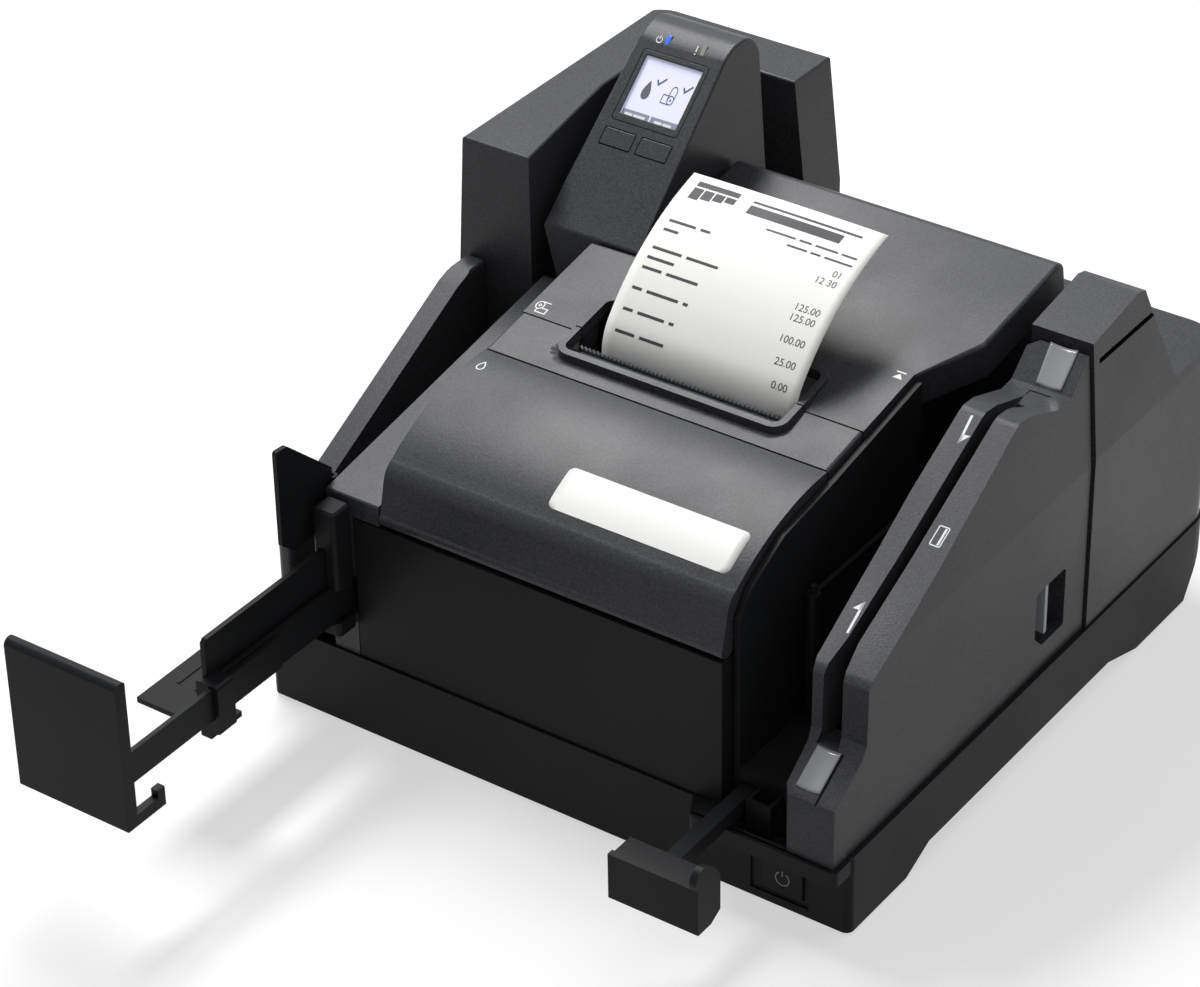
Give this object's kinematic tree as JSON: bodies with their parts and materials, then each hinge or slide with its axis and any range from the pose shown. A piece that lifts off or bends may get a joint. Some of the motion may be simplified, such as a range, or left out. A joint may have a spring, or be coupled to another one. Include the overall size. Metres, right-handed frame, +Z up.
{
  "type": "cheque scanner",
  "caption": "Desktop cheque scanner with a rising receipt printer between an entry pocket, a card swipe tower, an exit pocket with sliding guides and a tilted display.",
  "frame": {"origin": "on the table, under the middle of the overall box, with the sliding guides drawn out", "axes": "+X to the machine's right, +Y to its back, +Z up; the user faces the -Y side"},
  "size_m": [0.2504, 0.3766, 0.1961],
  "materials": {
    "charcoal_abs": "fine spark-eroded texture, matt",
    "black_abs": "fine texture, matt",
    "foot_rubber": "matt",
    "roller_rubber": "ground, matt",
    "belt_rubber": "matt",
    "gear_nylon": "as moulded",
    "motor_steel": "zinc plated",
    "heatsink_aluminium": "as extruded",
    "blade_steel": "ground",
    "connector_steel": "tin plated",
    "thermal_paper": "smooth coated paper",
    "core_card": "grey card",
    "cartridge_plastic": "semi gloss",
    "scan_glass": "polished",
    "lever_grey": "satin",
    "board_green": "solder mask",
    "screen_glass": "lit display behind clear film",
    "light_lens": "clear lens"
  },
  "bodies": {
    "chassis": {"base": "black_abs", "outer_scan_bar": "scan_glass", "rubber_feet": "foot_rubber", "front_panel": "black_abs", "shoulder_case": "charcoal_abs", "exit_pocket": "charcoal_abs", "exit_post": "black_abs", "main_frame": "black_abs", "exit_frame": "charcoal_abs", "thermal_head": "heatsink_aluminium", "cutter_blade": "blade_steel", "feed_motor": "motor_steel", "ink_cartridge": "cartridge_plastic", "path_guide": "black_abs", "entry_pocket": "black_abs", "drive_motor": "motor_steel", "drive_belt": "belt_rubber", "inner_scan_bar": "scan_glass", "magnetic_head": "blade_steel", "rear_right_case": "charcoal_abs", "rear_left_case": "charcoal_abs", "rear_connectors": "connector_steel", "logic_board": "board_green", "display_tower": "charcoal_abs", "display_bezel": "charcoal_abs", "display_screen": "screen_glass", "status_lights": "light_lens"},
    "roll_cover_assembly": {"roll_cover": "charcoal_abs", "receipt_strip": "thermal_paper"},
    "platen": {"platen_roller": "roller_rubber", "platen_gear": "gear_nylon"},
    "feed_gear": {"feed_gear": "gear_nylon"},
    "paper_roll": {"paper_roll": "thermal_paper", "paper_core": "core_card"},
    "front_cover": {"front_cover": "charcoal_abs"},
    "swipe_cover_assembly": {"swipe_cover": "charcoal_abs", "swipe_head": "blade_steel"},
    "pick_roller": {"pick_roller": "roller_rubber"},
    "pinch_roller": {"pinch_roller": "roller_rubber"},
    "release_lever": {"release_lever": "lever_grey"},
    "exit_guide": {"exit_guide": "black_abs"},
    "exit_end_plate": {"exit_end_plate": "black_abs"},
    "exit_flap": {"exit_flap": "black_abs"},
    "entry_tray": {"entry_tray": "black_abs"},
    "pressure_plate": {"pressure_plate": "black_abs"},
    "power_button": {"power_button": "black_abs"},
    "left_key": {"left_key": "charcoal_abs"},
    "right_key": {"right_key": "charcoal_abs"},
    "feed_roller": {"feed_roller": "roller_rubber"},
    "rear_roller_right": {"rear_roller_right": "roller_rubber"},
    "rear_roller_left": {"rear_roller_left": "roller_rubber"},
    "exit_roller": {"exit_roller": "roller_rubber"},
    "drive_pulley": {"drive_pulley": "gear_nylon"}
  },
  "joints": [
    {"name": "roll_cover_hinge", "type": "hinge", "parent": "chassis", "child": "roll_cover_assembly", "pos_m": [0.00325, 0.12225, 0.1412], "axis": [-1, 0, 0], "range_deg": [0, 75]},
    {"name": "platen_spin", "type": "hinge", "parent": "roll_cover_assembly", "child": "platen", "pos_m": [0.00325, 0.02775, 0.1222], "axis": [1, 0, 0], "continuous": true},
    {"name": "feed_gear_spin", "type": "hinge", "parent": "chassis", "child": "feed_gear", "pos_m": [-0.04575, 0.02775, 0.103], "axis": [1, 0, 0], "continuous": true},
    {"name": "paper_roll_spin", "type": "hinge", "parent": "chassis", "child": "paper_roll", "pos_m": [0.008, 0.07625, 0.0947], "axis": [1, 0, 0], "continuous": true},
    {"name": "front_cover_hinge", "type": "hinge", "parent": "chassis", "child": "front_cover", "pos_m": [0.00325, -0.05975, 0.0946], "axis": [1, 0, 0], "range_deg": [0, 100]},
    {"name": "swipe_cover_hinge", "type": "hinge", "parent": "chassis", "child": "swipe_cover_assembly", "pos_m": [0.11865, -0.06635, 0.0612], "axis": [0, 0, -1], "range_deg": [0, 45]},
    {"name": "pick_roller_spin", "type": "hinge", "parent": "swipe_cover_assembly", "child": "pick_roller", "pos_m": [0.10765, 0.02825, 0.0662], "axis": [0, 0, 1], "continuous": true},
    {"name": "pinch_roller_spin", "type": "hinge", "parent": "swipe_cover_assembly", "child": "pinch_roller", "pos_m": [0.09945, 0.08275, 0.0662], "axis": [0, 0, 1], "continuous": true},
    {"name": "release_lever_slide", "type": "slide", "parent": "swipe_cover_assembly", "child": "release_lever", "axis": [0, -1, 0], "range_m": [0, 0.004], "stiffness_N_per_m": 200},
    {"name": "exit_guide_slide", "type": "slide", "parent": "chassis", "child": "exit_guide", "axis": [0, 1, 0], "range_m": [0, 0.055]},
    {"name": "exit_end_plate_slide", "type": "slide", "parent": "exit_guide", "child": "exit_end_plate", "axis": [0, 1, 0], "range_m": [0, 0.029]},
    {"name": "exit_flap_hinge", "type": "hinge", "parent": "chassis", "child": "exit_flap", "pos_m": [-0.09115, -0.05675, 0.0912], "axis": [0, 0, -1], "range_deg": [0, 15], "stiffness_Nm_per_rad": 0.02},
    {"name": "entry_tray_slide", "type": "slide", "parent": "chassis", "child": "entry_tray", "axis": [0, 1, 0], "range_m": [0, 0.032]},
    {"name": "pressure_plate_hinge", "type": "hinge", "parent": "chassis", "child": "pressure_plate", "pos_m": [0.08065, -0.01775, 0.0712], "axis": [0, 0, -1], "range_deg": [0, 14], "stiffness_Nm_per_rad": 0.05},
    {"name": "power_button_press", "type": "slide", "parent": "chassis", "child": "power_button", "axis": [0, 1, 0], "range_m": [0, 0.0014], "stiffness_N_per_m": 300},
    {"name": "left_key_press", "type": "slide", "parent": "chassis", "child": "left_key", "axis": [0, 0.6521, -0.7581], "range_m": [0, 0.0008], "stiffness_N_per_m": 300},
    {"name": "right_key_press", "type": "slide", "parent": "chassis", "child": "right_key", "axis": [0, 0.6521, -0.7581], "range_m": [0, 0.0008], "stiffness_N_per_m": 300},
    {"name": "feed_roller_spin", "type": "hinge", "parent": "chassis", "child": "feed_roller", "pos_m": [0.08445, 0.08375, 0.0662], "axis": [0, 0, 1], "continuous": true},
    {"name": "rear_roller_right_spin", "type": "hinge", "parent": "chassis", "child": "rear_roller_right", "pos_m": [0.03325, 0.15125, 0.0662], "axis": [0, 0, 1], "continuous": true},
    {"name": "rear_roller_left_spin", "type": "hinge", "parent": "chassis", "child": "rear_roller_left", "pos_m": [-0.03675, 0.15125, 0.0662], "axis": [0, 0, 1], "continuous": true},
    {"name": "exit_roller_spin", "type": "hinge", "parent": "chassis", "child": "exit_roller", "pos_m": [-0.08075, 0.05375, 0.0662], "axis": [0, 0, 1], "continuous": true},
    {"name": "drive_pulley_spin", "type": "hinge", "parent": "chassis", "child": "drive_pulley", "pos_m": [0.00325, 0.03625, 0.0372], "axis": [0, 0, 1], "continuous": true}
  ],
  "couplings": [
    {"joint": "rear_roller_right_spin", "follows": "feed_roller_spin", "ratio": 1},
    {"joint": "rear_roller_left_spin", "follows": "feed_roller_spin", "ratio": 1},
    {"joint": "exit_roller_spin", "follows": "feed_roller_spin", "ratio": 1},
    {"joint": "drive_pulley_spin", "follows": "feed_roller_spin", "ratio": 1},
    {"joint": "feed_gear_spin", "follows": "platen_spin", "ratio": -0.6}
  ]
}
